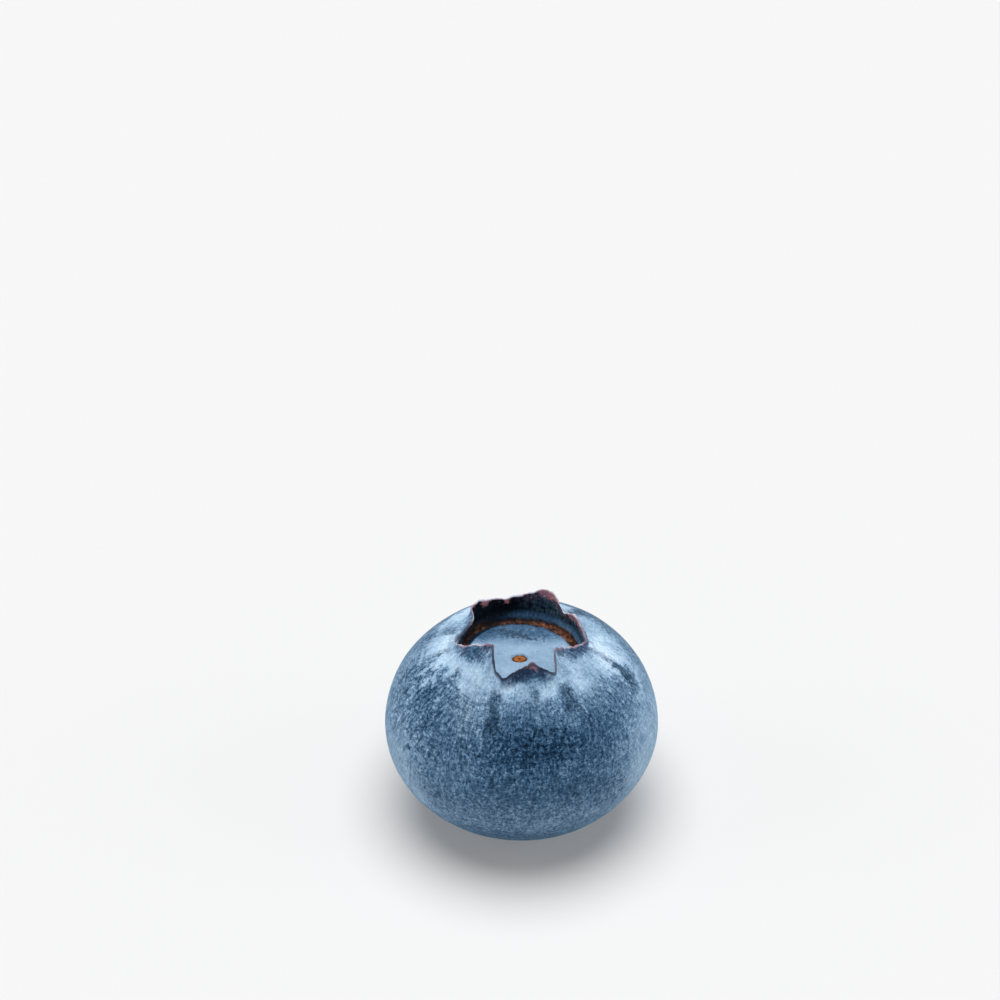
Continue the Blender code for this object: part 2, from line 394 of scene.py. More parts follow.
# %% Swell the body, shift the cup and flatten the scar
UNEVEN = 0.035
SWELL_FROM, SWELL_FULL_BY = 3.0, 7.0
SCAR_WIDER, SCAR_FLATTER = 0.08, 0.18
SCAR_TO, SCAR_FADES_FROM = 1.2, 0.6
swelling = ease(radius, SWELL_FROM, SWELL_FULL_BY)
swell = 1 + UNEVEN / BODY_RADIUS * swelling * swell_waves
radius = radius * swell - sunk * radius / BODY_RADIUS
height = height - sunk
cup = in_zone("style", "disc", "groove", "wall", "inner")
shift = cup * (1 - ease(height - DISC_Z, 0, WALL_HEIGHT))
scar = ease(radius, SCAR_TO, SCAR_FADES_FROM) * in_zone("style", "disc")
turns = np.radians(azimuth)
x = radius * np.sin(turns) * (1 + SCAR_WIDER * scar) + CUP_SHIFT[0] * shift
y = -radius * np.cos(turns) * (1 - SCAR_FLATTER * scar) + CUP_SHIFT[1] * shift
places = np.stack([x, y, height], axis=-1)
print(f"the farthest point is {radius.max():.2f} mm from the axis")

# %% [markdown]
# Relief
#
# The last of the form is relief along the surface's own normals: ribs on the dry lobes, torn fibres in
# the ring groove and the scars, slight dents in the disc, and soft lumps on the body. A Displace modifier
# with a texture could do it, but each zone needs its own noise, so the normals are worked out from the
# grid: the cross product of the way to the next row and the way to the next step round.

# %% Normals of the grid
to_next_row = np.gradient(places, axis=0)
to_next_step = np.roll(places, -1, axis=1) - np.roll(places, 1, axis=1)
normals = np.cross(to_next_row, to_next_step)
normals /= np.linalg.norm(normals, axis=-1, keepdims=True) + 1e-12
normals[0], normals[-1] = (0, 0, 1), (0, 0, -1)
print("at the widest place the normal points out:", normals[np.argmax(radius[:, 0]), 0].round(2))

# %% [markdown]
# The petals left a torn ring of cork between the disc and the wall. It is wider in some places and almost
# gone in others, so a table says where it runs. Every table that runs all the way round, from azimuth 0
# to 360, is read by one helper, which goes in a straight line from one row to the next.

# %% Where the cork ring runs
# Azimuth, inner and outer border in mm from the middle, and how brightly the cork is lit: painted light
# on the right, painted shade on the left.
RING = [
    (0, 3.12, 3.52, 0.6), (100, 3.12, 3.54, 0.5), (112, 3.08, 3.58, 0.5), (122, 3.03, 3.58, 0.75),
    (135, 3.0, 3.56, 0.7), (150, 2.96, 3.52, 0.6), (160, 2.95, 3.53, 0.6), (170, 2.96, 3.5, 0.45),
    (181, 2.96, 3.49, 0.35), (190, 2.98, 3.5, 0.4), (197, 2.95, 3.52, 0.35), (207, 3.05, 3.56, 0.1),
    (216, 3.26, 3.64, 0.15), (226, 3.34, 3.72, 0.4), (238, 3.34, 3.68, 0.45), (248, 3.22, 3.55, 0.45),
    (300, 3.12, 3.52, 0.6), (360, 3.12, 3.52, 0.6),
]
# The wall rises almost straight, so on it the way up is counted on from this radius.
WALL_COUNTS_FROM = 3.46
FAR = 9.0


def by_azimuth(table, column=1):
    """Looks every point's azimuth up in a table whose rows start with azimuths from 0 to 360."""
    angles, *columns = zip(*table)
    return np.interp(azimuth % 360, angles, columns[column - 1])


ring_from, ring_to = by_azimuth(RING, 1), by_azimuth(RING, 2)
plain_radius = np.repeat(rows[:, :1], STEPS, axis=1)
across = np.where(in_zone("wall"), WALL_COUNTS_FROM + (height - DISC_Z), plain_radius)
outside_ring = np.abs(across - (ring_from + ring_to) / 2) - (ring_to - ring_from) / 2
outside_ring = np.where(in_zone("disc", "groove", "wall"), outside_ring, FAR)
print(f"the ring is {(ring_to - ring_from).min():.2f} to {(ring_to - ring_from).max():.2f} mm wide")

# %% [markdown]
# The lobes dried into fine upright ribs, so their noise is stretched: it counts the way round the collar
# and the way up the lobe in unlike units. The rest is plain noise in space, finer for torn fibre and
# broader for flesh.

# %% Noise for the relief
lobe_zone = in_zone("inner", "rim", "outer")
lobe_length = np.hypot(rim_middle - WALL_TOP[1], edge_radius - COLLAR_INNER_FOOT)
up_the_lobe = np.where(lobe_zone, along * lobe_length, 0)
RIB_WIDTH, RIB_LENGTH, RIB_RADIUS = 0.16, 0.9, 3.7
round_the_collar = RIB_RADIUS / RIB_WIDTH * np.stack([np.sin(turns), -np.cos(turns)])
ribs = grain(np.stack([*round_the_collar, up_the_lobe / RIB_LENGTH], axis=-1), 1.0, 2, seed=4)
CRUMPLE_SIZE, FIBRE_SIZE, DENT_SIZE, LUMP_SIZE, PEEL_SIZE = 0.55, 0.13, 0.9, 3.2, 0.35
crumple = grain(places, CRUMPLE_SIZE, 2, seed=5)
fibres = grain(places, FIBRE_SIZE, 3, seed=6)
dents = grain(places, DENT_SIZE, 2, seed=7)
lumps = grain(places, LUMP_SIZE, 2, seed=8)
peel = grain(places, PEEL_SIZE, 2, seed=9)
print(f"the longest lobe is {lobe_length.max():.2f} mm from root to edge")

# %% Relief of each zone
# How far each noise moves the surface, in mm.
zone_relief = {
    "groove": 0.045 * fibres,
    "stem": 0.035 * fibres,
    "style": 0.012 * fibres,
    "disc": 0.014 * dents + 0.003 * fibres,
    "wall": 0.01 * dents,
}
RIBS, CRUMPLES, CORK_CRUMBS, LUMPS, PEEL = 0.014, 0.03, 0.04, 0.03, 0.004
RING_BLUR, FOOT_KEPT_FLAT = 0.08, 1.5
LOBES_ROUGH_FROM = 0.35
relief = sum(in_zone(name) * amount for name, amount in zone_relief.items())
on_ring = ease(0.5 - outside_ring / RING_BLUR) * in_zone("disc", "wall")
on_lobes = ease(along, 0, LOBES_ROUGH_FROM) * lobe_zone
on_body = in_zone("body") * ease((radius - FOOT_RADIUS) / FOOT_KEPT_FLAT)
relief = relief + on_ring * CORK_CRUMBS * fibres
relief = relief + on_lobes * (RIBS * ribs + CRUMPLES * crumple)
relief = relief + on_body * (LUMPS * lumps + PEEL * peel)
relief[0], relief[-1] = relief[0].mean(), relief[-1].mean()
places = places + normals * relief[..., None]
print(f"relief from {relief.min():.3f} to {relief.max():.3f} mm")

# %% [markdown]
# The mesh
#
# The grid is stitched into quads that wrap round, with fans of triangles at the two ends. Blender takes
# metres, so this is where the millimetres end.

# %% Stitch the grid into a mesh
MM = 0.001


def in_point_order(grid):
    """The grid's values as one list: its first and last rows are one point each."""
    return np.concatenate([grid[:1, 0], grid[1:-1].reshape(-1, *grid.shape[2:]), grid[-1:, 0]])


def add_object(name, data):
    """Makes an object from a mesh, a lamp or a camera and puts it in the scene."""
    made = bpy.data.objects.new(name, data)
    bpy.context.scene.collection.objects.link(made)
    return made


points = in_point_order(places)
lines = 1 + np.arange(len(rows) - 2)[:, None] * STEPS + np.arange(STEPS)
here, beyond = lines[:-1], lines[1:]
beside, beyond_beside = np.roll(here, -1, axis=1), np.roll(beyond, -1, axis=1)
quads = np.stack([here, beyond, beyond_beside, beside], axis=-1).reshape(-1, 4)
last = len(points) - 1
start_fan = [(0, lines[0, step], lines[0, (step + 1) % STEPS]) for step in range(STEPS)]
end_fan = [(last, lines[-1, (step + 1) % STEPS], lines[-1, step]) for step in range(STEPS)]
mesh = bpy.data.meshes.new("blueberry")
mesh.from_pydata((points * MM).tolist(), [], quads.tolist() + start_fan + end_fan)
mesh.shade_smooth()
berry = add_object("blueberry", mesh)
print(len(quads) * 2 + 2 * STEPS, "triangles")

# %% Measure the mesh
import bmesh

check = bmesh.new()
check.from_mesh(mesh)
volume = check.calc_volume(signed=True)
open_edges = sum(not edge.is_manifold for edge in check.edges)
check.free()
print(f"volume {volume * 1e9:.0f} mm3, {open_edges} open edges")

# %% [markdown]
# Notes for the paint
#
# A material can't know which zone of the section it is on, so the mesh carries that as attributes:
# numbers at each point that the shader reads back. Distances in mm from an edge or a middle are the most
# useful kind, because a mask made from a distance can be widened, broken up by noise or softened in the
# shader. The others say how strong a finish is at each point.

# %% How a note is written
def note(name, values):
    """Stores one number a point for the material to read."""
    flat = in_point_order(values).astype(np.float32)
    mesh.attributes.new(name, "FLOAT", "POINT").data.foreach_set("value", flat)


# %% [markdown]
# How each lobe dried
#
# Each lobe dried in its own way. On the right the inner faces are slate-grey, on the left almost black. Some
# tips are red, and some outer faces are worn down to dark skin. The free edge is pale in one place and dark
# in the next: pale with a painted highlight where it stands in the light. Vertex painting by hand would do,
# but short tables by azimuth are easier to change.

# %% Tables of the dried lobes
# Where the inner face's dry tissue starts: azimuth, height above the disc in mm.
DRY_FROM = [
    (0, 0.35), (90, 0.4), (125, 0.34), (145, 0.28), (178, 0.3), (190, 0.2), (205, 0), (245, 0), (270, 0.1),
    (360, 0.35),
]
# How pale the inner face is: azimuth, 0 to 1.
INNER_PALE = [
    (0, 0.25), (90, 0.7), (110, 1.0), (118, 1.0), (125, 0.5), (135, 0.9), (145, 0.85), (155, 0.65),
    (165, 0.6), (176, 0.35), (186, 0.06), (228, 0.04), (243, 0.4), (258, 0.5), (300, 0.25), (360, 0.25),
]
# Reddened tips: azimuth, spread in degrees, strength.
RED_TIPS = [
    (11, 6, 1.0), (45, 6, 0.2), (119, 11, 1.4), (154, 9, 1.5), (193, 3, 0.8), (215, 3.5, 1.5), (318, 8, 0.2),
]
# How worn the outer faces are below the free edge: azimuth, amount.
WORN = [
    (0, 0.3), (28, 0.1), (46, 0.1), (54, 0.9), (70, 1.0), (90, 0.9), (104, 0.2), (120, 0.3), (150, 0.6),
    (200, 0.5), (235, 0.4), (262, 0.3), (275, 0.5), (288, 0.9), (300, 1.2), (318, 1.2), (324, 0.5),
    (335, 0.2), (360, 0.3),
]
# How pale the free edge is, pale being a painted highlight on the margin where it stands in the light:
# azimuth, 0 dark to 1 pale.
PALE_EDGE_HIGHLIGHT = [
    (0, 0.05), (8, 0.25), (14, 0.3), (20, 0.03), (30, 0.05), (37, 0.3), (50, 0.5), (60, 0.8), (84, 0.8),
    (96, 0.3), (104, 0.6), (118, 1.0), (150, 0.85), (175, 1.0), (205, 1.0), (232, 1.0), (240, 0.4),
    (246, 0.05), (262, 0.05), (268, 0.5), (275, 0.95), (312, 0.9), (322, 0.3), (329, 0.05), (345, 0.02),
    (360, 0.05),
]
print(len(RED_TIPS), "reddened tips")

# %% Notes on the lobes
# A worn spot under the free edge: azimuth, spread in degrees, mm below the edge, spread in mm, strength.
WORN_SPOT = (51, 5, 0.28, 0.18, 2.5)
FRONT_LOBE, FRONT_LOBE_SPREAD = 6, 19
# Dry tissue sets in over this many mm, and on the rim between these two of its turns.
DRY_OVER = 0.2
RIM_DRY_FROM, RIM_DRY_BY = 60, 150
from_edge = np.where(lobe_zone, (1 - along) * lobe_length, FAR)
inside = ease((height - DISC_Z - by_azimuth(DRY_FROM)) / DRY_OVER) * in_zone("wall", "inner")
inside = np.where(rim, np.clip((share - RIM_DRY_FROM) / (RIM_DRY_BY - RIM_DRY_FROM), 0, 1), inside)
tips = sum(strength * bell(turned_by(centre), wide) for centre, wide, strength in RED_TIPS)
spot_at, spot_wide, spot_below, spot_tall, spot_strength = WORN_SPOT
worn_spot = np.exp(-((turned_by(spot_at) / spot_wide) ** 2) - ((from_edge - spot_below) / spot_tall) ** 2)
front_face = bell(turned_by(FRONT_LOBE), FRONT_LOBE_SPREAD, 4) * lobe_zone
note("from_edge", from_edge)
note("inside", inside)
note("inner_pale", by_azimuth(INNER_PALE))
note("tips", tips)
note("worn", by_azimuth(WORN) + spot_strength * worn_spot)
note("pale_edge", by_azimuth(PALE_EDGE_HIGHLIGHT))
note("front_face", front_face)
print(f"{(inside > 0.5).mean():.0%} of the points are on dry inner faces")

# %% Notes in the cup and at the stem
# The disc is scuffed along a narrow slanting band behind the style scar.
SCUFFS_BEHIND, SCUFFS_SLANT = 1.98, 0.27
SCUFFS_DEEP, SCUFFS_WIDE, SCUFFS_LEFT = 0.36, 1.75, 0.2
plain_x, plain_y = plain_radius * np.sin(turns), -plain_radius * np.cos(turns)
behind_band = (plain_y - (SCUFFS_BEHIND - SCUFFS_SLANT * plain_x)) / SCUFFS_DEEP
along_band = (plain_x + SCUFFS_LEFT) / SCUFFS_WIDE
note("scuffed", np.exp(-(behind_band**2) - along_band**4) * in_zone("disc"))
note("outside_ring", outside_ring)
note("ring_light", by_azimuth(RING, 3))
note("from_style", np.where(in_zone("style", "disc"), plain_radius, FAR))
note("from_stem", np.where(in_zone("foot", "stem"), plain_radius, FAR))
note("in_cup", in_zone("style", "disc", "groove", "wall") * 1.0)
print("the band of scuffs is", 2 * SCUFFS_WIDE, "mm long")

# %% [markdown]
# An unrolled place for smears
#
# The wax is smeared along the meridians, from the crown down to the stem. Noise can only be stretched along
# straight axes, so the surface is also noted as if unrolled round the axis: the way round, and the way
# down squeezed, which stretches whatever is drawn there.

# %% Note the unrolled place
SMEAR_SQUEEZE = 0.4
SMEAR_RADIUS = 6
step_down = np.linalg.norm(np.diff(places, axis=0), axis=-1)
way_down = np.concatenate([np.zeros((1, STEPS)), np.cumsum(step_down, axis=0)])
way_round = SMEAR_RADIUS * np.stack([np.sin(turns), -np.cos(turns)])
unrolled = np.stack([*way_round, way_down * SMEAR_SQUEEZE], axis=-1)
flat = in_point_order(unrolled).astype(np.float32)
mesh.attributes.new("unrolled", "FLOAT_VECTOR", "POINT").data.foreach_set("vector", flat.ravel())
print("the way from the disc's middle down to the stem is", way_down.max().round(1), "mm")

# %% [markdown]
# Where the bloom lies
#
# Bloom is the berry's own wax. It is thick where nothing touched the fruit, on the shoulders and round
# the crown, and thin where it was rubbed. It could be painted by hand in Texture Paint, but that needs an
# image. A list of broad soft patches does the same. A few patches are painted light and shade, not wax:
# those low on the flanks lighten the sides, and those underneath darken the bottom edge and the underside.
# A patch is an azimuth and a turn, which is the height angle on the body, its spread both ways in degrees,
# and an amount.

# %% How a patch is laid
turn_up = np.degrees(np.arctan2((height - FOOT_DROP) / TOP_HALF, np.maximum(radius, 0.01) / BODY_RADIUS))


def patches(table):
    """The sum of soft patches."""
    total = np.zeros_like(radius)
    for centre, middle, wide, tall, amount in table:
        off = (turned_by(centre) / wide) ** 2 + ((turn_up - middle) / tall) ** 2
        total = total + amount * np.exp(-off)
    return total


# %% Broad patches of bloom, painted light and painted shade
BLOOM_BASE = 0.54
# Most patches are bloom. In left and right, those low on the flanks, at turns from -14 to 8, are painted
# light on the sides. The under patches are painted shade on the bottom edge and the underside.
BLOOM_LIGHT_AND_SHADE_PATCHES = {
    "front": [
        (5, 34, 26, 13, -0.37), (5, 10, 30, 12, -0.18), (5, 60, 30, 6, 0.1), (-5, 49, 12, 8, -0.1),
        (23, 59, 9, 4, 0.12), (32, 2, 18, 18, -0.06), (-30, 0, 20, 14, -0.05),
    ],
    "left": [
        (-42, 32, 22, 14, -0.17), (-88, 56, 22, 9, 0.27), (-38, 53, 12, 8, 0.08), (-62, 50, 16, 8, -0.08),
        (-59, 2, 13, 20, 0.12), (-46, -14, 12, 12, 0.06), (-37, 49, 11, 7, -0.08), (-66, 58, 10, 5, 0.1),
        (-82, 49, 8, 7, -0.1), (-34, 42, 10, 8, 0.08), (-55, 46, 8, 5, 0.07), (-78, 8, 22, 22, 0.02),
    ],
    "right": [
        (45, 36, 20, 16, -0.16), (78, 8, 22, 22, 0.12), (90, 54, 28, 10, 0.25), (57, 3, 11, 20, 0.1),
        (47, 56, 9, 6, 0.14), (80, 46, 9, 9, -0.06), (64, 54, 10, 6, -0.06), (91, 41, 8, 9, 0.1),
        (50, 39, 8, 8, 0.02),
    ],
    "back": [
        (180, 30, 50, 22, -0.22), (150, 56, 24, 8, 0.2), (-140, 54, 26, 9, 0.22), (120, -20, 40, 16, 0.1),
        (-130, -5, 40, 20, -0.12),
    ],
    "under": [(0, -29, 45, 12, -0.22), (0, -44, 60, 9, -0.3), (0, -90, 400, 13, -0.3)],
}
bloom = BLOOM_BASE + sum(patches(table) for table in BLOOM_LIGHT_AND_SHADE_PATCHES.values())
print(f"broad patches: {bloom.min():.2f} to {bloom.max():.2f}")

# %% [markdown]
# Bloom on the crown
#
# On the crown's outer faces the bloom changes within a millimetre, from thick at their foot to thin at the
# free edge, and differently on each lobe. Patches are too broad for that, so a table by azimuth gives one
# amount for the foot of the face and one for the top.

# %% Bloom on the outer faces of the crown
# Azimuth, bloom added at the foot of the face, and near the free edge.
OUTER_BLOOM = [
    (0, 0.0, -0.1), (6, -0.06, -0.2), (13, 0, -0.2), (20, -0.07, -0.12), (28, 0, 0), (36, 0.09, 0.12),
    (43, 0, 0.08), (49, 0.1, 0.12), (56, 0.07, 0), (64, 0.08, -0.08), (72, 0, -0.15), (80, -0.15, -0.36),
    (92, 0.08, -0.38), (108, 0, -0.1), (140, 0, 0), (262, 0, 0), (275, -0.16, -0.17), (283, 0, -0.08),
    (290, -0.02, -0.03), (300, 0.08, -0.16), (306, 0.12, -0.22), (312, 0.15, -0.1), (323, 0.14, 0.04),
    (330, 0.07, 0.14), (338, 0.05, 0.08), (348, 0.17, -0.08), (360, 0.0, -0.1),
]
# The neck just below the crown gets a share of the foot's amount, out to this radius in mm.
NECK_SHARE, NECK_TO = 0.35, 5.4
# Shares of the way up: the foot's amount is full here, and the top's sets in and is full here.
FOOT_FULL_BY, TOP_FROM, TOP_FULL_BY = 0.25, 0.35, 0.7
upper = ease(along, TOP_FROM, TOP_FULL_BY)
on_face = in_zone("outer", "rim")
at_the_neck = ease(NECK_TO - radius) * in_zone("body") * top_side
neck_to_face = NECK_SHARE + (1 - NECK_SHARE) * ease(along, 0, FOOT_FULL_BY)
low_share = on_face * (1 - upper) * neck_to_face + NECK_SHARE * at_the_neck
bloom = bloom + by_azimuth(OUTER_BLOOM, 1) * low_share + by_azimuth(OUTER_BLOOM, 2) * upper * on_face
print(f"with the crown: {bloom.min():.2f} to {bloom.max():.2f}")

# %% [markdown]
# Dark streaks
#
# Darker streaks run down the shoulder from between the lobes: along each one the bloom is lowered. They
# could be more patches, but a patch can't lean. Each streak is a bell curve across its azimuth instead,
# which turns a little on the way down and fades out at its end.

# %% Streaks down the shoulder
# Azimuth at the crown, lean and spread in degrees, the turn where it ends, depth.
STREAKS = [
    (-20, 5, 4.2, 32, 0.18), (10, 0, 3.5, 47, 0.14), (36, -3, 4.5, 41, 0.24), (86, -8, 3.5, 28, 0.15),
    (-86, -3, 3.0, 44, 0.15), (-60, 4, 3.0, 48, 0.08), (137, 4, 5, 42, 0.16), (188, -5, 4.5, 44, 0.18),
    (250, -6, 4.5, 46, 0.16),
]
STREAK_TOP_TURN, STREAK_END_FADE = 60, 12
STREAK_FROM, STREAK_FULL_BY = 3.9, 4.3
off_the_crown = ease(radius, STREAK_FROM, STREAK_FULL_BY) * top_side
streaked = 0 * bloom
for centre, lean, wide, end, depth in STREAKS:
    down_it = np.clip((STREAK_TOP_TURN - turn_up) / (STREAK_TOP_TURN - end), 0, 1)
    fade = ease(turn_up - end, 0, STREAK_END_FADE) * off_the_crown
    streak = fade * bell(turned_by(centre + lean * down_it), wide, 4)
    bloom = bloom - depth * streak
    streaked = streaked + streak
print(f"with the streaks: {bloom.min():.2f} to {bloom.max():.2f}")

# %% [markdown]
# Bloom and painted shade in the cup
#
# In the cup the wax was hardly touched. The disc is pale in the middle and in front, and darker blue
# towards the back, where the wall is close: that is painted shade, and a painted shadow of the left wall
# lies in its back left corner. The wall itself is blue at its foot and darkens upwards under the lobes,
# which is painted shadow too. Here one sum across the cup does what a list of patches would do with more
# numbers.

# %% Bloom and painted shade on the disc and the wall
# Bloom at the foot of the wall: azimuth, amount.
WALL_BLOOM = [
    (0, 0.42), (110, 0.5), (125, 0.52), (135, 0.43), (145, 0.37), (175, 0.36), (185, 0.32), (195, 0.16),
    (205, 0.02), (240, 0.02), (262, 0.25), (290, 0.42), (360, 0.42),
]
DISC_BLOOM, SHADE_AT_THE_BACK, SHADOW_IN_THE_CORNER = 0.665, 0.29, 0.13
BACK_FROM, BACK_FULL_BY = 0.7, 2.2
CORNER_X, CORNER_Y, CORNER_SIZE = -2.3, 1.7, 0.7
WALL_SHADOW, WALL_FADES_FROM, WALL_FADES_OVER = 0.9, 0.1, 0.4
# Painted shade darkens the back of the disc, a painted shadow of the left wall lies in its back left corner,
# and painted shadow darkens the wall upwards.
shade_to_the_back = ease(y, BACK_FROM, BACK_FULL_BY)
shadow_in_left_corner = np.exp(-((x - CORNER_X) ** 2 + (y - CORNER_Y) ** 2) / CORNER_SIZE**2)
up_the_wall = np.clip(height - DISC_Z - WALL_FADES_FROM, 0, WALL_FADES_OVER)
disc_bloom_and_shade = DISC_BLOOM - SHADE_AT_THE_BACK * shade_to_the_back - SHADOW_IN_THE_CORNER * shadow_in_left_corner
wall_bloom_and_shadow = by_azimuth(WALL_BLOOM) - WALL_SHADOW * up_the_wall
bloom = np.where(in_zone("style", "disc"), disc_bloom_and_shade, bloom)
bloom = np.where(in_zone("groove", "wall", "inner"), wall_bloom_and_shadow, bloom)
note("bloom", bloom)
on_disc = bloom[in_zone("disc")]
print(f"bloom on the disc: {on_disc.min():.2f} to {on_disc.max():.2f}")

# %% [markdown]
# Flakes, grain and grey
#
# Wax also differs in kind. Near the crown it breaks off in flakes, in the dark fields its grain stands out
# more, and where it was wetted it dried greyer. Three more sets of patches say where.

# %% Notes on the kind of wax
FLAKED_BASE = 0.25
FLAKED = [
    (-79, 43, 15, 12, 0.9), (-58, 57, 12, 5, 0.5), (81, 43, 13, 13, 0.9), (5, 58, 22, 5, 0.5),
    (150, 42, 34, 16, 0.8), (-140, 45, 30, 14, 0.8), (10, 30, 30, 10, 0.15), (0, -2, 34, 16, -0.15),
    (-58, 44, 16, 10, 0.6),
]
GRAINY = [(5, 32, 26, 13, 0.42), (-62, 34, 26, 18, 0.35), (180, 20, 60, 24, 0.25), (5, -8, 50, 18, -0.16)]
GREYED = [(-38, 49, 16, 8, 0.9), (-28, 40, 12, 9, 0.5), (45, 48, 20, 9, 0.35)]
note("flaked", FLAKED_BASE + patches(FLAKED))
note("grainy", 1 + patches(GRAINY))
note("greyed", np.clip(patches(GREYED) + streaked, 0, 1))
print("notes:", [a.name for a in mesh.attributes if a.domain == "POINT" and not a.name.startswith(".")])

# %% [markdown]
# A way to write shader maths
#
# Wiring dozens of nodes by hand hides the idea behind them. One small class wraps a node's output
# socket and overloads the arithmetic operators, so 1 - mask adds a Math node by itself. Every other
# node comes from one method: it takes the node's type, its settings and what goes into its sockets.

# %% The wire class
class Wire:
    """A socket in a material's node tree. Arithmetic on wires adds Math nodes."""

    def __init__(self, socket):
        self.socket = socket

    def node(self, kind, settings, inputs, output=0):
        """Adds a node of this kind: its settings first, then a value or a wire for each socket."""
        made = self.socket.id_data.nodes.new("ShaderNode" + kind)
        for name, value in settings.items():
            if name == "stops":
                set_stops(made.color_ramp, value)
            else:
                setattr(made, name, value)
        fill_sockets(made, inputs)
        return Wire(made.outputs[output])

    def maths(self, operation, *values, clamp=False):
        return self.node("Math", {"operation": operation, "use_clamp": clamp}, dict(enumerate(values)))

    def __add__(self, other):
        return self.maths("ADD", self, other)

    __radd__ = __add__

    def __sub__(self, other):
        return self.maths("SUBTRACT", self, other)

    def __rsub__(self, other):
        return self.maths("SUBTRACT", other, self)

    def __mul__(self, other):
        return self.maths("MULTIPLY", self, other)

    __rmul__ = __mul__

    def size(self):
        """How far the wire is from 0."""
        return self.maths("ABSOLUTE", self)

    def clamped(self):
        """The wire kept between 0 and 1."""
        return self.maths("ADD", self, 0.0, clamp=True)

    def step(self, low, high):
        """The same as ease, on a wire."""
        limits = {"From Min": low, "From Max": high}
        return self.node("MapRange", {"interpolation_type": "SMOOTHSTEP"}, {"Value": self, **limits})


def fill_sockets(node, inputs):
    """Links each of these sockets where a wire is given for it, and sets its value otherwise."""
    for name, value in inputs.items():
        if isinstance(value, Wire):
            node.id_data.links.new(value.socket, node.inputs[name])
        else:
            node.inputs[name].default_value = value


def set_stops(ramp, stops):
    """Sets a colour ramp to a list of (position, colour)."""
    while len(ramp.elements) > 1:
        ramp.elements.remove(ramp.elements[-1])
    ramp.elements[0].position, ramp.elements[0].color = stops[0]
    for position, colour in stops[1:]:
        ramp.elements.new(position).color = colour


# %% [markdown]
# Colours are given as screen values, and Blender's sockets take linear ones, so one helper turns
# them. A colour over a colour is a Mix node. A colour times a colour, for a tint, is a Vector Math node.

# %% Colours, and the two nodes that join them
def to_linear(value):
    """One screen value from 0 to 255 as a linear one from 0 to 1."""
    part = value / 255
    return part / 12.92 if part < 0.04045 else ((part + 0.055) / 1.055) ** 2.4


def paint(red, green, blue):
    """A colour given as screen values, as the linear RGBA that Blender's sockets take."""
    return (to_linear(red), to_linear(green), to_linear(blue), 1.0)


def mixed(mask, below, above):
    """The colour above laid over the colour below where the mask is 1."""
    # A Mix node has sockets for each kind of value. Those for colours are 6 and 7, and 2 going out.
    return mask.node("Mix", {"data_type": "RGBA"}, {0: mask, 6: below, 7: above}, output=2)


def tinted(colour, tint):
    return colour.node("VectorMath", {"operation": "MULTIPLY"}, {0: colour, 1: tint})


print("mid grey on the screen is", round(to_linear(128), 3), "in linear light")

# %% [markdown]
# The material
#
# The whole fruit is one mesh, so it gets one material, built in layers from the skin up. Four separate
# materials on face groups would be simpler, but their borders would follow the faces, and on the fruit
# cork, wax and dry lobe break into each other raggedly. All noise reads the object's own coordinates in
# millimetres, so a size in the shader is a size on the fruit.

# %% Start the material
surface = bpy.data.materials.new("blueberry_surface")
surface.use_nodes = True
mesh.materials.append(surface)
tree = surface.node_tree
shader = tree.nodes["Principled BSDF"]
start = Wire(shader.outputs[0])
place = start.node("TexCoord", {}, {}, output="Object")
place_mm = start.node("VectorMath", {"operation": "SCALE"}, {"Vector": place, "Scale": 1 / MM})
place_unrolled = start.node("Attribute", {"attribute_name": "unrolled"}, {}, output="Vector")


def noted(name):
    """Reads a note that the mesh carries."""
    return start.node("Attribute", {"attribute_name": name}, {}, output="Fac")


def cells(size, octaves=2, rough=0.5, where=place_mm, warp=0.0):
    """Noise with features about this many mm wide, from -0.5 to 0.5."""
    sockets = {"Vector": where, "Scale": 0.5 / size, "Detail": octaves}
    return start.node("TexNoise", {}, {**sockets, "Roughness": rough, "Distortion": warp}) - 0.5


print(len(tree.nodes), "nodes to start with")

# %% [markdown]
# Skin and bloom
#
# The skin is blue-black, and each thickness of wax over it has its own colour, from navy through slate
# blue to nearly white. A ramp from bare to thick holds those colours, so the whole skin comes down to one
# number. That number starts from the noted patches, and broad drifts and blotches of about a millimetre
# break them up. Where the wax is flaked it has hard edges: it is either there or gone.

# %% Wax in drifts and flakes
BLOOM_COLOURS = [
    (0.0, paint(4, 22, 38)),
    (0.2, paint(28, 58, 85)),
    (0.4, paint(67, 98, 128)),
    (0.6, paint(117, 147, 175)),
    (0.8, paint(169, 197, 221)),
    (1.0, paint(228, 239, 248)),
]
DRIFT, BLOTCH, MOTTLE, CLOUDS_IN_CUP = 0.2, 0.4, 0.9, 1.8
FLAKE_EDGE = (0.52, 0.64)
drifts = cells(2.6, 2)
blotches = cells(0.8, 3, 0.6)
mottle = cells(0.3, 4, 0.75)
flaked_note = noted("flaked")
on_skin = 1 - noted("in_cup")
clouds = blotches * BLOTCH * flaked_note * (CLOUDS_IN_CUP - on_skin * (CLOUDS_IN_CUP - 1))
# The noted bloom also holds painted light on the flanks and painted shade underneath, at the back of the disc
# and up the wall.
wax_light_and_shade = noted("bloom") + drifts * DRIFT * on_skin + clouds
flakes = (wax_light_and_shade + mottle * MOTTLE * flaked_note * on_skin).step(*FLAKE_EDGE)
print(len(tree.nodes), "nodes with drifts and flakes")

# %% [markdown]
# The grain of the wax
#
# Close to, bloom is a felt of tiny platelets that reads as salt and pepper, and the eye knows a blueberry by
# it. One noise alone looks like film grain. Three kinds together look like wax: round platelets,
# strokes down the meridians, and fainter level strokes. Small chips are missing here and there.

